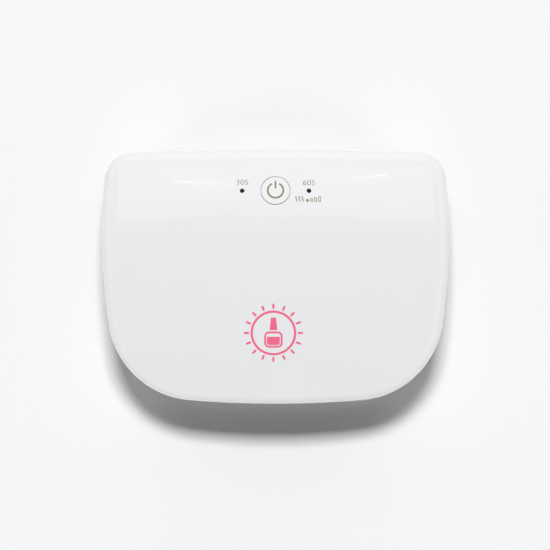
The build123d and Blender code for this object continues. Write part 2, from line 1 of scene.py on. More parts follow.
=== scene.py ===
import json
from math import cos, exp, pi, radians, sin, tan, tau

import bmesh
import bpy
from mathutils import Matrix, Vector
from mathutils.bvhtree import BVHTree


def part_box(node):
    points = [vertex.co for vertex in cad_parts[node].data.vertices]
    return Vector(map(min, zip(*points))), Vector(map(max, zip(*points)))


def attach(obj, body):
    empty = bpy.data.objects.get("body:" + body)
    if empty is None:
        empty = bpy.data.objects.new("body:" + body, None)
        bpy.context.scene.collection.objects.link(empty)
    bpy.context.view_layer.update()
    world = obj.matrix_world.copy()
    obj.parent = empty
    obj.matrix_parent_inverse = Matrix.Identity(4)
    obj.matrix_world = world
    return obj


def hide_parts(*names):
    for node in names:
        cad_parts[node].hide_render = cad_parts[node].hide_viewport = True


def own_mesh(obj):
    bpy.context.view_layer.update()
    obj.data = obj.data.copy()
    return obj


# The looks of a UV LED nail lamp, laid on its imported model: the finish of every piece, the LED packages,
# the prints on the dome and the button, and a plain studio. Sizes are in metres.

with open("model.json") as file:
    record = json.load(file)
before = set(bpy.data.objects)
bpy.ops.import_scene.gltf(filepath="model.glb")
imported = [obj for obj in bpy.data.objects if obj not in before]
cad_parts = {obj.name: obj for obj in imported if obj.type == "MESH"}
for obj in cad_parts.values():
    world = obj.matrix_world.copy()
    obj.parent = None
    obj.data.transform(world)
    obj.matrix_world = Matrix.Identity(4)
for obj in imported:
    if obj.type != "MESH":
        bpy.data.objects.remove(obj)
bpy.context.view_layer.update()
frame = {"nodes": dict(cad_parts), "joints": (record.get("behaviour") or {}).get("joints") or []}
nodes = frame["nodes"]
MM = 0.001


# ---------------------------------------------------------------- writing shaders

# The colour sockets of a Mix node, which has more of the same name for numbers and vectors.
MIX_FACTOR = 0
MIX_FIRST = 6
MIX_SECOND = 7
MIXED_COLOUR = 2
# The output of a Voronoi node that gives each cell a shade of its own.
CELL_SHADE = 1
# A Wave node draws about this many bands along each unit of its scale.
BANDS_IN_A_UNIT = 3


class Value:
    """What one shader socket gives. Ordinary operators on it add Math nodes."""

    def __init__(self, nodes, socket):
        self.nodes = nodes
        self.socket = socket

    def _math(self, operation, first, second):
        return self.nodes.node("ShaderNodeMath", {"operation": operation}, {0: first, 1: second})

    def __add__(self, other):
        return self._math("ADD", self, other)

    def __sub__(self, other):
        return self._math("SUBTRACT", self, other)

    def __rsub__(self, other):
        return self._math("SUBTRACT", other, self)

    def __mul__(self, other):
        return self._math("MULTIPLY", self, other)

    def __pow__(self, other):
        return self._math("POWER", self, other)

    def __rpow__(self, other):
        return self._math("POWER", other, self)

    def at_least(self, floor):
        return self._math("MAXIMUM", self, floor)

    __radd__ = __add__
    __rmul__ = __mul__


class Nodes:
    """The node tree of a material or of the studio's walls, under construction."""

    def start(self, tree):
        self.tree = tree
        tree.nodes.clear()

    def node(self, kind, settings=None, inputs=None, output=0):
        """Adds a node: first its settings, then the values or links of its sockets."""
        made = self.tree.nodes.new(kind)
        for setting, value in (settings or {}).items():
            if setting == "stops":
                for spot, (position, shade) in zip(made.color_ramp.elements, value):
                    spot.position = position
                    spot.color = (shade, shade, shade, 1)
            else:
                setattr(made, setting, value)
        for socket, value in (inputs or {}).items():
            self.feed(made.inputs[socket], value)
        return Value(self, made.outputs[output]) if output is not None else None

    def feed(self, socket, value):
        if isinstance(value, Value):
            self.tree.links.new(value.socket, socket)
        else:
            socket.default_value = value


class Sky(Nodes):
    """The studio's pale walls, as light that comes from all round."""

    def __init__(self, name):
        self.world = bpy.data.worlds.new(name)
        self.world.use_nodes = True
        self.start(self.world.node_tree)
        self.place = self.node("ShaderNodeTexCoord", output="Generated")

    def glow(self, colour, strength):
        light = self.node("ShaderNodeBackground", None, {"Color": (*colour, 1), "Strength": strength})
        self.node("ShaderNodeOutputWorld", None, {"Surface": light}, output=None)


class Finish(Nodes):
    """A material under construction: one Principled shader and the nodes that feed it."""

    def __init__(self, name, colour, roughness, **constants):
        self.material = bpy.data.materials.new(name)
        self.material.use_nodes = True
        self.material.diffuse_color = (*colour, 1)
        self.start(self.material.node_tree)
        self.shader = self.tree.nodes.new("ShaderNodeBsdfPrincipled")
        output = self.tree.nodes.new("ShaderNodeOutputMaterial")
        self.tree.links.new(self.shader.outputs[0], output.inputs["Surface"])
        self.place = self.node("ShaderNodeTexCoord", output="Object")
        self.set("Base Color", (*colour, 1))
        self.set("Roughness", roughness)
        for socket, value in constants.items():
            self.set(socket.replace("_", " "), value)

    def set(self, socket, value):
        """Sets or links one socket of the Principled shader."""
        self.feed(self.shader.inputs[socket], value)

    def stretched(self, x=1.0, y=1.0, z=1.0):
        """The place on the piece, squeezed along each axis."""
        settings = {"operation": "MULTIPLY"}
        return self.node("ShaderNodeVectorMath", settings, {0: self.place, 1: (x, y, z)})

    def noise(self, grain, detail=2.0, place=None):
        """Soft noise from about 0 to 1, with grains of that size in metres."""
        inputs = {"Vector": place or self.place, "Scale": 1 / grain, "Detail": detail}
        return self.node("ShaderNodeTexNoise", None, inputs)

    def ramp(self, value, low, high):
        """0 below low, 1 above high, and a straight climb between them."""
        return self.node("ShaderNodeValToRGB", {"stops": [(low, 0), (high, 1)]}, {0: value})

    def blend(self, factor, first, second):
        """A colour from first to second."""
        ends = [end if isinstance(end, Value) else (*end, 1) for end in (first, second)]
        inputs = {MIX_FACTOR: factor, MIX_FIRST: ends[0], MIX_SECOND: ends[1]}
        return self.node("ShaderNodeMix", {"data_type": "RGBA"}, inputs, output=MIXED_COLOUR)

    def mottle(self, pattern, colour, darkest, lightest):
        """Lets the colour drift with a pattern, between two shades of it."""
        self.set("Base Color", self.blend(pattern, shade(colour, darkest), shade(colour, lightest)))

    def bump(self, height, depth, under=None):
        """Roughens the surface by height times depth, in metres."""
        inputs = {"Height": height, "Distance": depth}
        if under:
            inputs["Normal"] = under
        normal = self.node("ShaderNodeBump", None, inputs)
        self.set("Normal", normal)
        return normal


# ---------------------------------------------------------------- finishes


def shade(colour, factor):
    """The same colour, darker or lighter."""
    return tuple(c * factor for c in colour)


def gloss_white(name, colour, roughness):
    """Glossy white moulded plastic: faint flow clouding, orange peel and hairline scuffs."""
    finish = Finish(name, colour, roughness, IOR=1.5, Coat_Weight=0.4, Coat_Roughness=0.04)
    clouds = finish.noise(40 * MM, detail=3)
    finish.mottle(clouds, colour, 0.99, 1.01)
    hairlines = finish.noise(0.5 * MM, place=finish.stretched(y=0.03))
    scuffs = finish.ramp(hairlines, 0.62, 0.75)
    finish.set("Roughness", clouds * 0.06 + scuffs * 0.05 + (roughness - 0.03))
    orange_peel = finish.noise(0.9 * MM, detail=1)
    finish.bump(orange_peel, 0.0012 * MM)
    return finish.material


def spark_white():
    """The tray's white plastic, with the fine grain of an eroded mould."""
    colour = (0.78, 0.785, 0.79)
    finish = Finish("tray_spark_white", colour, 0.42, IOR=1.5)
    grain = finish.noise(0.35 * MM, detail=3)
    clouds = finish.noise(50 * MM)
    finish.mottle(clouds, colour, 0.985, 1.01)
    finish.set("Roughness", grain * 0.14 + 0.36)
    finish.bump(grain, 0.012 * MM)
    return finish.material


def mirror_coat():
    """Vacuum-metallised plastic: a bright mirror with slow mould ripple, fine pits and a little haze."""
    finish = Finish("liner_mirror_coat", (0.87, 0.88, 0.89), 0.1, Metallic=1.0)
    haze = finish.noise(30 * MM, detail=3)
    pits = finish.noise(0.6 * MM, detail=2)
    finish.set("Base Color", finish.blend(haze, (0.84, 0.85, 0.865), (0.9, 0.905, 0.91)))
    finish.set("Roughness", haze * 0.08 + pits * 0.05 + 0.03)
    mould_ripple = finish.bump(finish.noise(14 * MM, detail=1), 0.03 * MM)
    finish.bump(pits, 0.0015 * MM, under=mould_ripple)
    return finish.material


def rubber():
    """Soft black rubber with a dusty bloom."""
    colour = (0.03, 0.03, 0.032)
    finish = Finish("foot_rubber", colour, 0.75)
    bloom = finish.noise(6 * MM, detail=4)
    finish.mottle(bloom, colour, 0.8, 1.7)
    finish.set("Roughness", bloom * 0.2 + 0.65)
    grain = finish.noise(0.3 * MM, detail=3)
    finish.bump(grain, 0.02 * MM)
    return finish.material


def plated_metal(name, colour, roughness, grain=(1.0, 1.0, 1.0)):
    """Bare or plated metal. It is blasted, or brushed along the axes where grain is under 1."""
    finish = Finish(name, colour, roughness, Metallic=1.0)
    brush = finish.noise(0.4 * MM, detail=4, place=finish.stretched(*grain))
    tarnish = finish.noise(5 * MM, detail=3)
    finish.mottle(tarnish, colour, 0.86, 1.06)
    finish.set("Roughness", brush * 0.16 + tarnish * 0.08 + (roughness - 0.1))
    finish.bump(brush, 0.004 * MM)
    return finish.material


def solder_mask(name, colour, copper_colour):
    """A printed board: lacquer over copper planes, some split into tracks, with tinned holes through it."""
    plane_size = 8 * MM
    track_pitch = 1.2 * MM
    tin = (0.55, 0.53, 0.48)
    finish = Finish(name, colour, 0.38, Coat_Weight=0.3, Coat_Roughness=0.2)
    patches = {"Vector": finish.place, "Scale": 1 / plane_size, "Randomness": 0.9}
    mitred = {"feature": "F1", "distance": "CHEBYCHEV"}
    nearest = finish.node("ShaderNodeTexVoronoi", mitred, patches)
    kind = finish.node("ShaderNodeTexVoronoi", mitred, patches, output=CELL_SHADE)
    next_one = finish.node("ShaderNodeTexVoronoi", {**mitred, "feature": "F2"}, patches)
    planes = finish.ramp(next_one - nearest, 0.05, 0.07)
    waves = {"wave_type": "BANDS", "bands_direction": "X"}
    spacing = {"Vector": finish.place, "Scale": 1 / track_pitch / BANDS_IN_A_UNIT}
    bands = finish.node("ShaderNodeTexWave", waves, spacing)
    split = (1 - finish.ramp(bands, 0.55, 0.7)) * finish.ramp(kind, 0.6, 0.62)
    copper = planes * (1 - split)
    away = finish.node("ShaderNodeTexVoronoi", {"feature": "F1"}, patches)
    holes = 1 - finish.ramp(away, 0.05, 0.06)
    weave = finish.noise(0.25 * MM, detail=2)
    lacquer = finish.blend(copper, colour, copper_colour)
    finish.set("Base Color", finish.blend(holes, lacquer, tin))
    finish.set("Roughness", weave * 0.15 + 0.3)
    raised = finish.bump(copper + holes, 0.025 * MM)
    finish.bump(weave, 0.004 * MM, under=raised)
    return finish.material


def moulded(name, colour, roughness, grain=0.3 * MM, depth=0.005 * MM):
    """Plain technical plastic with a fine moulded grain."""
    finish = Finish(name, colour, roughness)
    fine = finish.noise(grain, detail=3)
    clouds = finish.noise(12 * MM)
    finish.mottle(clouds, colour, 0.88, 1.12)
    finish.set("Roughness", fine * 0.16 + (roughness - 0.08))
    finish.bump(fine, depth)
    return finish.material


def clear_dome(name, colour, roughness):
    """Cast silicone or epoxy that light goes through, with a trace of surface dust."""
    finish = Finish(name, colour, roughness, IOR=1.41, Transmission_Weight=1.0)
    dust = finish.ramp(finish.noise(0.15 * MM, detail=2), 0.68, 0.8)
    finish.set("Roughness", dust * 0.3 + roughness)
    waviness = finish.noise(1.2 * MM, detail=1)
    finish.bump(waviness, 0.003 * MM)
    return finish.material


def smoked_lens():
    """Nearly black glossy plastic, polished, with a trace of unevenness."""
    finish = Finish("indicator_smoked", (0.004, 0.004, 0.005), 0.12, IOR=1.38)
    fine = finish.noise(0.4 * MM, detail=2)
    finish.set("Base Color", finish.blend(fine, (0.003, 0.003, 0.0035), (0.007, 0.007, 0.008)))
    finish.set("Roughness", fine * 0.1 + 0.08)
    finish.bump(fine, 0.001 * MM)
    return finish.material


def phosphor():
    """The pale yellow gel in an unlit LED's well, with its dies showing as darker grains."""
    gel_colour = (0.86, 0.79, 0.42)
    die_colour = (0.62, 0.5, 0.2)
    finish = Finish("led_phosphor", (0.82, 0.74, 0.36), 0.5)
    dies = finish.ramp(finish.noise(0.35 * MM, detail=2), 0.45, 0.7)
    finish.set("Base Color", finish.blend(dies, gel_colour, die_colour))
    finish.set("Roughness", dies * 0.2 + 0.4)
    finish.bump(dies, 0.01 * MM)
    return finish.material


def ink(name, colour, roughness, **constants):
    """Pad-printed ink, in a slightly uneven film."""
    finish = Finish(name, colour, roughness, **constants)
    film = finish.noise(0.5 * MM, detail=3)
    finish.mottle(film, colour, 0.93, 1.07)
    finish.set("Roughness", film * 0.14 + (roughness - 0.07))
    finish.bump(film, 0.0015 * MM)
    return finish.material


casing_white = gloss_white("casing_gloss_white", (0.745, 0.748, 0.756), 0.16)
cap_white = gloss_white("button_gloss_white", (0.75, 0.75, 0.756), 0.16)
tray_white = spark_white()
steel = plated_metal("plated_steel", (0.66, 0.66, 0.65), 0.32, grain=(1.0, 0.15, 1.0))
nickel = plated_metal("nickel_plate", (0.7, 0.68, 0.63), 0.22)
spring_steel = plated_metal("spring_steel", (0.6, 0.6, 0.59), 0.28, grain=(0.2, 1.0, 1.0))
white_board = solder_mask("led_board_white", (0.73, 0.73, 0.705), (0.78, 0.78, 0.76))
green_board = solder_mask("control_board_green", (0.01, 0.095, 0.043), (0.018, 0.16, 0.072))
black_plastic = moulded("black_moulding", (0.02, 0.02, 0.022), 0.45)
grey_plastic = moulded("plunger_moulding", (0.05, 0.05, 0.055), 0.4)
ivory_plastic = moulded("plug_ivory", (0.72, 0.68, 0.55), 0.42)
can_metal = plated_metal("capacitor_can", (0.7, 0.71, 0.72), 0.3)
package_white = moulded("led_package_white", (0.8, 0.79, 0.75), 0.4, grain=0.2 * MM)
bronze_ink = ink("print_bronze", (0.27, 0.225, 0.14), 0.42, Metallic=0.2)
pink_ink = ink("print_pink", (0.79, 0.14, 0.25), 0.36)

CAD_FINISHES = {
    casing_white: ["top_shell"],
    cap_white: ["power_button"],
    tray_white: ["base_tray"],
    mirror_coat(): ["inner_reflector"],
    rubber(): ["rubber_feet"],
    steel: ["casing_screws", "led_board_screws", "control_board_screws", "strike_plates"],
    nickel: ["magnets", "inlet_pin"],
    spring_steel: ["snap_dome"],
    white_board: ["led_board_top", "led_board_left", "led_board_right", "led_board_rear"],
    green_board: ["control_board", "inlet_board"],
    black_plastic: ["timer_chip", "led_drivers", "chip_resistors", "switch_body", "inlet_housing"],
    grey_plastic: ["switch_plunger"],
    ivory_plastic: ["lead_plugs"],
    can_metal: ["capacitors"],
    smoked_lens(): ["indicator_pipe_left", "indicator_pipe_right"],
    clear_dome("lens_silicone", (0.97, 0.97, 0.93), 0.03): [
        "led_lenses_top", "led_lenses_left", "led_lenses_right", "led_lenses_rear",
    ],
    clear_dome("indicator_epoxy", (0.95, 0.9, 0.84), 0.08): ["indicator_leds"],
    moulded("red_insulation", (0.42, 0.02, 0.02), 0.4, depth=0.003 * MM): ["leads_red"],
    moulded("black_insulation", (0.02, 0.02, 0.02), 0.4, depth=0.003 * MM): ["leads_black"],
}
for finish, names in CAD_FINISHES.items():
    for name in names:
        nodes[name].data.materials.clear()
        nodes[name].data.materials.append(finish)


# ---------------------------------------------------------------- places on the lamp


def direction(joint):
    """The way a joint's child moves, as a unit vector."""
    (axis,) = [j["axis"] for j in frame["joints"] if j["name"] == joint]
    return Vector(axis).normalized()


# How far outside the lamp a probe for its skin starts.
PROBE_START = 20 * MM


class Spot:
    """A place on a CAD node's skin: its middle, the way out of the skin, and right and up along it."""

    def __init__(self, node, middle, out):
        self.out = out.normalized()
        self.right = Vector((1, 0, 0))
        self.up = self.out.cross(self.right)
        self.middle = middle
        self.skin = BVHTree.FromPolygons(
            [v.co for v in nodes[node].data.vertices],
            [p.vertices for p in nodes[node].data.polygons],
        )

    def on_skin(self, right, up, lift):
        """A point of the skin, lifted off it a little."""
        start = self.middle + self.right * right + self.up * up + self.out * PROBE_START
        hit = self.skin.ray_cast(start, -self.out)[0]
        return hit + self.out * lift


def middle_along(node, out):
    """The middle of a round node, seen along its own axis."""
    right = Vector((1, 0, 0))
    up = out.cross(right)
    points = [v.co for v in nodes[node].data.vertices]
    spans = [[p.dot(way) for p in points] for way in (right, up, out)]
    middles = [(min(span) + max(span)) / 2 for span in spans]
    return right * middles[0] + up * middles[1] + out * middles[2]


# ---------------------------------------------------------------- prints

# The ink stands PRINT_LIFT above the skin. Its film is PRINT_DEPTH thick, so its back is sunk in the skin.
PRINT_LIFT = 0.035 * MM
PRINT_DEPTH = 0.06 * MM
# Where a stroke's rounded end has its points, in degrees round from its straight side.
ROUND_END_TURNS = (80, 55, 30)


def ribbon(sheet, path, widths, closed=False):
    """Adds a strip along a path on the flat, as wide at each point as widths says."""
    count = len(path)
    rows = []
    for i, here in enumerate(path):
        before = path[i - 1] if i > 0 or closed else here
        after = path[(i + 1) % count] if i + 1 < count or closed else here
        along = (after - before).normalized()
        across = Vector((-along.y, along.x)) * widths[i] / 2
        rows.append([sheet.verts.new((*(here + across * side), 0)) for side in (-1, 1)])
    for i in range(count if closed else count - 1):
        near_left, near_right = rows[i]
        far_left, far_right = rows[(i + 1) % count]
        sheet.faces.new((near_left, far_left, far_right, near_right))


def stroke(sheet, path, width, closed=False):
    """A ribbon of one width. Its open ends are rounded off."""
    if closed:
        ribbon(sheet, path, [width] * len(path), closed=True)
        return
    first = (path[0] - path[1]).normalized()
    last = (path[-1] - path[-2]).normalized()
    turns = [radians(a) for a in ROUND_END_TURNS]
    start = [path[0] + first * width / 2 * sin(a) for a in turns]
    end = [path[-1] + last * width / 2 * sin(a) for a in reversed(turns)]
    narrow = [width * cos(a) for a in turns]
    widths = narrow + [width] * len(path) + narrow[::-1]
    ribbon(sheet, start + path + end, widths)


def arc(radius, start, end, steps, middle=(0, 0)):
    """Points of an arc on the flat, in degrees from the right, counter-clockwise."""
    angles = [radians(start + (end - start) * i / steps) for i in range(steps + 1)]
    return [Vector(middle) + Vector((cos(a), sin(a))) * radius for a in angles]


def line(start, end, steps=6):
    """Points of a straight line on the flat."""
    return [Vector(start).lerp(Vector(end), i / steps) for i in range(steps + 1)]


def lettering(sheet, text, height, width, thin):
    """Adds plain figures to the sheet, centred, at that height and width, with their strokes thinned."""
    curve = bpy.data.curves.new("figures", "FONT")
    curve.body = text
    curve.offset = -thin
    carrier = bpy.data.objects.new("figures", curve)
    flat = bpy.data.meshes.new_from_object(carrier)
    spans = [(min(v.co[i] for v in flat.vertices), max(v.co[i] for v in flat.vertices)) for i in (0, 1)]
    size = (width, height)
    for vertex in flat.vertices:
        for i, (low, high) in enumerate(spans):
            vertex.co[i] = ((vertex.co[i] - low) / (high - low) - 0.5) * size[i]
    sheet.from_mesh(flat)
    bpy.data.objects.remove(carrier)
    bpy.data.curves.remove(curve)
    bpy.data.meshes.remove(flat)


def lay(name, sheet, spot, finish, body, slot, right=0.0, up=0.0):
    """Lays a flat sheet on the skin as a thin film of ink that rides on a body."""
    for vertex in sheet.verts:
        vertex.co = spot.on_skin(right + vertex.co.x, up + vertex.co.y, PRINT_LIFT)
    bmesh.ops.recalc_face_normals(sheet, faces=sheet.faces)
    for face in sheet.faces:
        if face.normal.dot(spot.out) < 0:
            face.normal_flip()
    mesh = bpy.data.meshes.new(name)
    sheet.to_mesh(mesh)
    sheet.free()
    mesh.materials.append(finish)
    piece = bpy.data.objects.new(name, mesh)
    bpy.context.scene.collection.objects.link(piece)
    film = piece.modifiers.new("film", "SOLIDIFY")
    film.thickness = PRINT_DEPTH
    film.offset = -1
    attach(piece, body)
    return piece


def power_symbol():
    """A ring with a gap at its top, and a bar that stands in the gap."""
    sheet = bmesh.new()
    ring_radius = 4.45 * MM
    gap_left = 122
    gap_right = 58
    bar_low = 1.6 * MM
    bar_high = 5.2 * MM
    thick = 1.0 * MM
    stroke(sheet, arc(ring_radius, gap_left, 360 + gap_right, 72), thick)
    stroke(sheet, line((0, bar_low), (0, bar_high)), thick)
    return sheet


def time_mark(text):
    """The figures of one timer setting."""
    sheet = bmesh.new()
    lettering(sheet, text, height=3.0 * MM, width=6.8 * MM, thin=0.012)
    return sheet


def rounded_box(left, right, low, high, radius):
    """A closed path round a box with rounded corners."""
    path = []
    for x, y, turn in ((right, high, 0), (left, high, 90), (left, low, 180), (right, low, 270)):
        inset_x = x - radius if x == right else x + radius
        inset_y = y - radius if y == high else y + radius
        path += arc(radius, turn, turn + 90, 6, (inset_x, inset_y))
    return path


def heat_wisp(left, tall):
    """A wavy upright line."""
    sway = 0.36 * MM
    parts = [t / 12 for t in range(13)]
    return [Vector((left + sway * sin(tau * part), tall * (part - 0.5))) for part in parts]


def low_heat_mark():
    """Three rising wisps, then four steps of which only the first is filled in."""
    sheet = bmesh.new()
    tall = 2.9 * MM
    first_wisp = -7.2 * MM
    wisp_pitch = 1.8 * MM
    wisp_line = 0.5 * MM
    first_step = -0.8 * MM
    step_pitch = 2.3 * MM
    half_step = 0.55 * MM
    step_corner = 0.2 * MM
    step_line = 0.38 * MM
    filled_line = 1.5 * MM
    for k in range(3):
        stroke(sheet, heat_wisp(first_wisp + wisp_pitch * k, tall), wisp_line)
    for k in range(4):
        middle = first_step + step_pitch * k
        top = tall * (0.2 * k - 0.1)
        if k > 0:
            step = rounded_box(middle - half_step, middle + half_step, -tall / 2, top, step_corner)
            stroke(sheet, step, step_line, closed=True)
        else:
            stroke(sheet, line((middle, -0.35 * tall), (middle, top - 0.15 * tall)), filled_line)
    return sheet


def varnish_fill(sheet):
    """The varnish in the bottle: a strip with rounded lower corners."""
    low = -7.0 * MM
    high = -2.1 * MM
    width = 7.4 * MM
    corner = 1.4 * MM
    quarter = tau / 4
    turns = [quarter * i / 5 for i in range(6)]
    climbs = [(high - low - corner) * i / 6 for i in range(1, 7)]
    rows = [low + corner * (1 - cos(turn)) for turn in turns] + [low + corner + climb for climb in climbs]
    widths = [width - 2 * corner * (1 - sin(turn)) for turn in turns] + [width] * len(climbs)
    ribbon(sheet, [Vector((0, row)) for row in rows], widths)


def varnish_badge():
    """A sun's ring and rays round a little bottle of nail varnish."""
    sheet = bmesh.new()
    ring_radius = 12.4 * MM
    ring_width = 1.3 * MM
    rays = 16
    ray_start = 14.5 * MM
    ray_length = 1.9 * MM
    ray_width = 1.25 * MM
    bottle_half = 4.7 * MM
    bottle_low = -8.0 * MM
    bottle_high = 0.4 * MM
    bottle_corner = 2.2 * MM
    bottle_line = 1.1 * MM
    cap_low = 1.7 * MM
    cap_high = 9.0 * MM
    cap_foot = 4.4 * MM
    cap_taper = 1.5 * MM
    stroke(sheet, arc(ring_radius, 0, 360, 120)[:-1], ring_width, closed=True)
    for k in range(rays):
        way = Vector((cos(tau * k / rays), sin(tau * k / rays)))
        ray = [way * (ray_start + ray_length * t / 4) for t in range(5)]
        stroke(sheet, ray, ray_width)
    bottle = rounded_box(-bottle_half, bottle_half, bottle_low, bottle_high, bottle_corner)
    stroke(sheet, bottle, bottle_line, closed=True)
    cap_rows = line((0, cap_low), (0, cap_high), 12)
    ribbon(sheet, cap_rows, [cap_foot - cap_taper * i / 12 for i in range(13)])
    varnish_fill(sheet)
    return sheet


# ---------------------------------------------------------------- LED packages


def islands(sheet):
    """The separate solids of a mesh, each as a list of its vertices."""
    seen = set()
    for first in sheet.verts:
        if first in seen:
            continue
        seen.add(first)
        island = [first]
        for vertex in island:
            for edge in vertex.link_edges:
                other = edge.other_vert(vertex)
                if other not in seen:
                    seen.add(other)
                    island.append(other)
        yield island


RING_POINTS = 40


def round_ring(radius):
    """Points round a circle."""
    turns = [tau * i / RING_POINTS for i in range(RING_POINTS)]
    return [(radius * cos(turn), radius * sin(turn)) for turn in turns]


def square_ring(half, roundness=9):
    """Points round a square with softened corners."""
    points = []
    for i in range(RING_POINTS):
        c = cos(tau * i / RING_POINTS)
        s = sin(tau * i / RING_POINTS)
        reach = half / (abs(c) ** roundness + abs(s) ** roundness) ** (1 / roundness)
        points.append((c * reach, s * reach))
    return points


def led_package(sheet, middle, right, out, half, deep):
    """A white frame round a sloping cup, with the phosphor gel at the bottom of the cup."""
    across = out.cross(right)
    frame_part = 0
    gel_part = 1
    edge = 0.08 * MM
    # Each ring's outline, its height over the middle of the block, and the part that leads up to it.
    rings = [
        (square_ring(half), -deep / 2, frame_part),
        (square_ring(half), deep / 2 - edge, frame_part),
        (square_ring(half - edge), deep / 2, frame_part),
        (round_ring(half * 0.84), deep / 2, frame_part),
        (round_ring(half * 0.7), 0.02 * MM, frame_part),
        (round_ring(half * 0.55), 0.07 * MM, gel_part),
        (round_ring(half * 0.25), 0.11 * MM, gel_part),
    ]
    rows = []
    for points, height, _ in rings:
        rows.append([sheet.verts.new(middle + right * x + across * y + out * height) for x, y in points])
    for low, high, (_, _, part) in zip(rows, rows[1:], rings[1:]):
        for i in range(RING_POINTS):
            j = (i + 1) % RING_POINTS
            sheet.faces.new((low[i], low[j], high[j], high[i])).material_index = part
    sheet.faces.new(rows[0][::-1]).material_index = frame_part
    sheet.faces.new(rows[-1]).material_index = gel_part


HAND = Vector((0, 0, 18 * MM))


def largest_face_to_the_hand(island, middle):
    """The front of a plain LED block. Areas are compared in whole square micrometres."""
    faces = {face for v in island for face in v.link_faces if face.normal.dot(HAND - middle) > 0}
    return max(faces, key=lambda face: (round(face.calc_area() / (0.001 * MM) ** 2), -face.index))


def led_packages(side, gel):
    """Cupped packages in the places of one board's plain LED blocks."""
    plain = bmesh.new()
    plain.from_mesh(nodes["led_emitters_" + side].data)
    bmesh.ops.remove_doubles(plain, verts=plain.verts, dist=0.001 * MM)
    packages = bmesh.new()
    for island in islands(plain):
        middle = sum((v.co for v in island), Vector()) / len(island)
        out = largest_face_to_the_hand(island, middle).normal.copy()
        on_the_rear_board = abs(out.y) >= 0.5
        right = Vector((1, 0, 0)) if on_the_rear_board else Vector((0, 1, 0))
        half = max((v.co - middle).dot(right) for v in island)
        deep = 2 * max((v.co - middle).dot(out) for v in island)
        led_package(packages, middle, right, out, half, deep)
    plain.free()
    mesh = bpy.data.meshes.new("led_packages_" + side)
    packages.to_mesh(mesh)
    packages.free()
    mesh.materials.append(package_white)
    mesh.materials.append(gel)
    piece = bpy.data.objects.new("led_packages_" + side, mesh)
    bpy.context.scene.collection.objects.link(piece)
    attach(piece, "lamp")
    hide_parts("led_emitters_" + side)


led_gel = phosphor()
for side in ("top", "left", "right", "rear"):
    led_packages(side, led_gel)


# ---------------------------------------------------------------- the snap dome under the plunger

button_out = -direction("button_press")
BUTTON_TRAVEL = 0.5 * MM


def snap_dome_that_flattens():
    """A copy of the steel dome under the plunger, riding on the lamp in place of the CAD one."""
    mesh = nodes["snap_dome"].data.copy()
    piece = bpy.data.objects.new("snap_dome_spring", mesh)
    bpy.context.scene.collection.objects.link(piece)
    levels = [v.co.dot(button_out) for v in mesh.vertices]
    tall = max(levels) - min(levels)
    foot = middle_along("snap_dome", button_out) - button_out * tall / 2
    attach(piece, "lamp")
    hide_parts("snap_dome")
    1 - BUTTON_TRAVEL / tall
    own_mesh(piece)


snap_dome_that_flattens()

# ---------------------------------------------------------------- laying the prints

button_middle = middle_along("power_button", button_out)
left_middle = middle_along("indicator_pipe_left", button_out)
right_middle = middle_along("indicator_pipe_right", button_out)
panel = Spot("top_shell", button_middle, button_out)
cap = Spot("power_button", button_middle, button_out)
panel_ink = (panel, bronze_ink, "lamp", "white_abs")

lay("print_power_symbol", power_symbol(), cap, bronze_ink, "button", "white_abs")
lay("print_30_seconds", time_mark("30S"), *panel_ink, right=left_middle.x, up=5.2 * MM)
lay("print_60_seconds", time_mark("60S"), *panel_ink, right=right_middle.x, up=4.9 * MM)
lay("print_low_heat", low_heat_mark(), *panel_ink, right=right_middle.x, up=-4.9 * MM)

BADGE_LEFT_OF_MIDDLE = 1.2 * MM
BADGE_FROM_FRONT = 40.4 * MM
shell_low, shell_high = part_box("top_shell")
badge_middle = Vector((-BADGE_LEFT_OF_MIDDLE, shell_low.y + BADGE_FROM_FRONT, shell_high.z))
above_badge = Spot("top_shell", badge_middle, Vector((0, 0, 1)))
slope = above_badge.skin.ray_cast(badge_middle + above_badge.out * PROBE_START, -above_badge.out)[1]
badge = Spot("top_shell", badge_middle, Vector((0, slope.y, slope.z)))
lay("print_badge", varnish_badge(), badge, pink_ink, "lamp", "white_abs")


# ---------------------------------------------------------------- studio

KEY_FROM_ZENITH = 22.9
KEY_HALF_WIDTH = 6
KEY_HALF_DEPTH = 4.2
KEY_AWAY = 20
KEY_STRENGTH = 2.68
LIGHTS_AWAY = 4
TUBE_WIDTH = 0.03
TUBE_GLOW = 7.0
SOFTBOX_FROM_ZENITH = 41
SOFTBOX_ENERGY = 32
SOFTBOX_WIDTH = 5.8
SOFTBOX_DEPTH = 2.3
FILL_FROM_ZENITH = 70
FILL_SPREAD = 50
# Each fill's side, its place round from the back in degrees, and its strength.
FILLS = (("front", 180, 0.93), ("left", -90, 0.2), ("right", 90, 0.25))

FLOOR_HALF = 4.0
PAPER_FAR = (0.945, 0.945, 0.953)
# Painted shade: the paper's colour round the lamp, darker to offset the light bounced off the casing.
PAPER_PAINTED_SHADE = (0.815, 0.815, 0.822)
NEAR_MIDDLE = (0, 0.018, 0)
NEAR_HALF_WIDTH = 0.098
NEAR_HALF_DEPTH = 0.078
FADE = exp(-3.2)

WALL_COLOUR = (0.98, 0.99, 1)
HORIZON_GLOW = 1.22
OVERHEAD_GLOW = 0.02

floor_mesh = bpy.data.meshes.new("studio_floor")
corners = [(x * FLOOR_HALF, y * FLOOR_HALF, 0) for x, y in ((-1, -1), (1, -1), (1, 1), (-1, 1))]
floor_mesh.from_pydata(corners, [], [(0, 1, 2, 3)])
floor = bpy.data.objects.new("studio_floor", floor_mesh)
bpy.context.scene.collection.objects.link(floor)
paper = Finish("studio_paper", PAPER_FAR, 0.9)
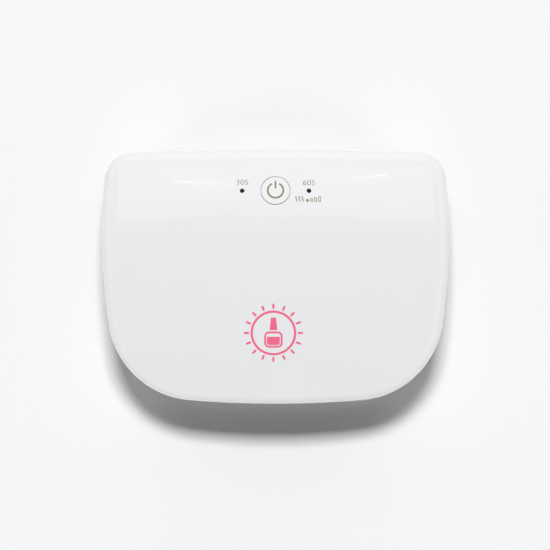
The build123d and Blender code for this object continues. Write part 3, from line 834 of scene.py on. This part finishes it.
# Painted shade: the paper is painted a shade darker round the lamp, to offset the light the white casing
# throws on the floor there.
from_lamp = paper.node("ShaderNodeVectorMath", {"operation": "SUBTRACT"}, {0: paper.place, 1: NEAR_MIDDLE})
squeeze = {0: from_lamp, 1: (1 / NEAR_HALF_WIDTH, 1 / NEAR_HALF_DEPTH, 0)}
squeezed = paper.node("ShaderNodeVectorMath", {"operation": "MULTIPLY"}, squeeze)
reach = paper.node("ShaderNodeVectorMath", {"operation": "LENGTH"}, {0: squeezed}, output=1)
painted_shade = FADE ** (reach - 1).at_least(0)
paper.set("Base Color", paper.blend(painted_shade, PAPER_FAR, PAPER_PAINTED_SHADE))
paper.set("Roughness", paper.noise(2 * MM) * 0.1 + 0.85)
floor_mesh.materials.append(paper.material)

sky = Sky("studio_walls")
height = sky.node("ShaderNodeSeparateXYZ", None, {0: sky.place}, output=2).at_least(0)
sky.glow(WALL_COLOUR, ((1 - height) ** 2) * HORIZON_GLOW + OVERHEAD_GLOW)
bpy.context.scene.world = sky.world


def toward(from_zenith, around):
    """The way to a place on the studio's vault: degrees from straight above, and round from the back."""
    tilt = radians(from_zenith)
    turn = radians(around)
    return Vector((sin(tilt) * sin(turn), sin(tilt) * cos(turn), cos(tilt)))


def hang(name, kind, way, across=Vector((1, 0, 0)), distance=LIGHTS_AWAY, **settings):
    """Hangs a light that faces the lamp. Its width runs along across."""
    light = bpy.data.lights.new(name, kind)
    for setting, value in settings.items():
        setattr(light, setting, value)
    stand = bpy.data.objects.new(name, light)
    back = way.normalized()
    side = (across - back * across.dot(back)).normalized()
    stand.matrix_world = Matrix((side, back.cross(side), back)).transposed().to_4x4()
    stand.location = back * distance
    bpy.context.scene.collection.objects.link(stand)
    return stand


def panel_shape(width, depth):
    """The settings of a flat rectangular light."""
    return {"shape": "RECTANGLE", "size": width, "size_y": depth}


def tube(name, first, last):
    """A thin glowing tube between two places on the vault, seen only in the gloss."""
    start = toward(*first) * LIGHTS_AWAY
    end = toward(*last) * LIGHTS_AWAY
    long = (end - start).length
    energy = TUBE_GLOW * pi * long * TUBE_WIDTH
    stand = hang(name, "AREA", start + end, end - start, energy=energy, **panel_shape(long, TUBE_WIDTH))
    stand.visible_diffuse = False


# A panel this far off needs pi times its distance squared in watts for each watt per square metre here.
key_width = 2 * KEY_AWAY * tan(radians(KEY_HALF_WIDTH))
key_depth = 2 * KEY_AWAY * tan(radians(KEY_HALF_DEPTH))
key_energy = KEY_STRENGTH * pi * KEY_AWAY**2
key_settings = {"energy": key_energy, **panel_shape(key_width, key_depth)}
key = hang("key_light", "AREA", toward(KEY_FROM_ZENITH, 0), distance=KEY_AWAY, **key_settings)
key.visible_glossy = False
softbox_settings = {"energy": SOFTBOX_ENERGY, **panel_shape(SOFTBOX_WIDTH, SOFTBOX_DEPTH)}
softbox = hang("back_softbox", "AREA", toward(SOFTBOX_FROM_ZENITH, 0), **softbox_settings)
softbox.visible_diffuse = False
tube("left_tube", (45, -30), (38.5, -13))
tube("right_tube", (43, 22), (48.5, 30.5))

# A flag keeps the fill lights off the floor, where they would lift the lamp's shadow.
flagged = bpy.data.collections.new("behind_the_flag")
flagged.objects.link(floor)
flagged.collection_objects[0].light_linking.link_state = "EXCLUDE"
for side, around, strength in FILLS:
    place = toward(FILL_FROM_ZENITH, around)
    fill = hang(side + "_fill", "SUN", place, energy=strength, angle=radians(FILL_SPREAD))
    fill.visible_glossy = False
    fill.light_linking.receiver_collection = flagged

# The camera looks straight down from far off, and takes in FIELD at FIELD_LEVEL above the floor.
FIELD = 317.4 * MM
FIELD_LEVEL = 45 * MM
CAMERA_RIGHT = -0.3 * MM
CAMERA_BACK = 1.15 * MM
camera = bpy.data.cameras.new("camera")
camera.lens = 300
camera.sensor_width = 36
camera.clip_end = 50
camera_away = FIELD * camera.lens / camera.sensor_width
camera_stand = bpy.data.objects.new("camera", camera)
camera_stand.location = (CAMERA_RIGHT, CAMERA_BACK, FIELD_LEVEL + camera_away)
bpy.context.scene.collection.objects.link(camera_stand)
bpy.context.scene.camera = camera_stand
bpy.context.scene.view_settings.view_transform = "Standard"
